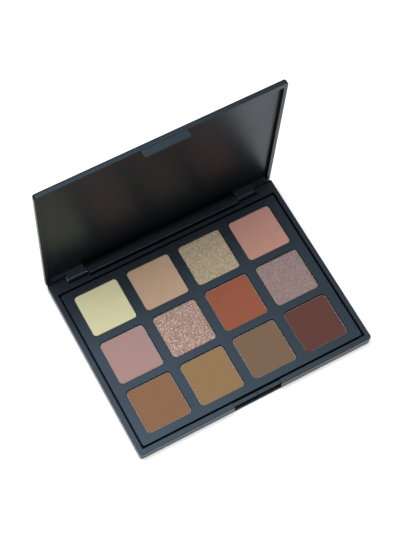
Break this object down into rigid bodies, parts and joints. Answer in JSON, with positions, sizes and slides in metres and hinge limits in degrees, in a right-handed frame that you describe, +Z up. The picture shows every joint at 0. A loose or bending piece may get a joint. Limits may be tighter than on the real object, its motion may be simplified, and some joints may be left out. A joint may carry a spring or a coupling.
{
  "type": "eyeshadow palette",
  "caption": "Slim hinged makeup case with square pans of pressed eyeshadow in a framed deck; the lid opens on side pins and shuts on a thin catch tab.",
  "frame": {"origin": "Centre of the base's rectangular body on its flat underside, on the face that rests on a table.", "axes": "+Z up, +X along the hinge to the right as the user faces the open case, +Y from the catch at the front to the hinge at the back. Stored with the lid open 88 degrees."},
  "size_m": [0.141, 0.114, 0.1131],
  "materials": {
    "case_plastic": "satin",
    "pan_metal": "satin",
    "pin_steel": "satin",
    "foam_tape": "matte",
    "powder_front_1": "matte",
    "powder_front_2": "matte",
    "powder_front_3": "matte",
    "powder_front_4": "matte",
    "powder_middle_1": "matte",
    "powder_middle_2": "matte",
    "powder_middle_3": "matte",
    "powder_middle_4": "matte",
    "powder_back_1": "matte",
    "powder_back_2": "matte",
    "powder_back_3": "matte",
    "powder_back_4": "matte"
  },
  "bodies": {
    "base": {"base_shell": "case_plastic", "deck_insert": "case_plastic", "hinge_pin_left": "pin_steel", "hinge_pin_right": "pin_steel", "adhesive_front_1": "foam_tape", "pan_front_1": "pan_metal", "powder_front_1": "powder_front_1", "adhesive_front_2": "foam_tape", "pan_front_2": "pan_metal", "powder_front_2": "powder_front_2", "adhesive_front_3": "foam_tape", "pan_front_3": "pan_metal", "powder_front_3": "powder_front_3", "adhesive_front_4": "foam_tape", "pan_front_4": "pan_metal", "powder_front_4": "powder_front_4", "adhesive_middle_1": "foam_tape", "pan_middle_1": "pan_metal", "powder_middle_1": "powder_middle_1", "adhesive_middle_2": "foam_tape", "pan_middle_2": "pan_metal", "powder_middle_2": "powder_middle_2", "adhesive_middle_3": "foam_tape", "pan_middle_3": "pan_metal", "powder_middle_3": "powder_middle_3", "adhesive_middle_4": "foam_tape", "pan_middle_4": "pan_metal", "powder_middle_4": "powder_middle_4", "adhesive_back_1": "foam_tape", "pan_back_1": "pan_metal", "powder_back_1": "powder_back_1", "adhesive_back_2": "foam_tape", "pan_back_2": "pan_metal", "powder_back_2": "powder_back_2", "adhesive_back_3": "foam_tape", "pan_back_3": "pan_metal", "powder_back_3": "powder_back_3", "adhesive_back_4": "foam_tape", "pan_back_4": "pan_metal", "powder_back_4": "powder_back_4"},
    "lid": {"lid_shell": "case_plastic"}
  },
  "joints": [
    {"name": "lid_hinge", "type": "hinge", "parent": "base", "child": "lid", "pos_m": [0, 0.05295, 0.0048], "axis": [-1, 0, 0], "range_deg": [-87.8, 12.2]}
  ]
}
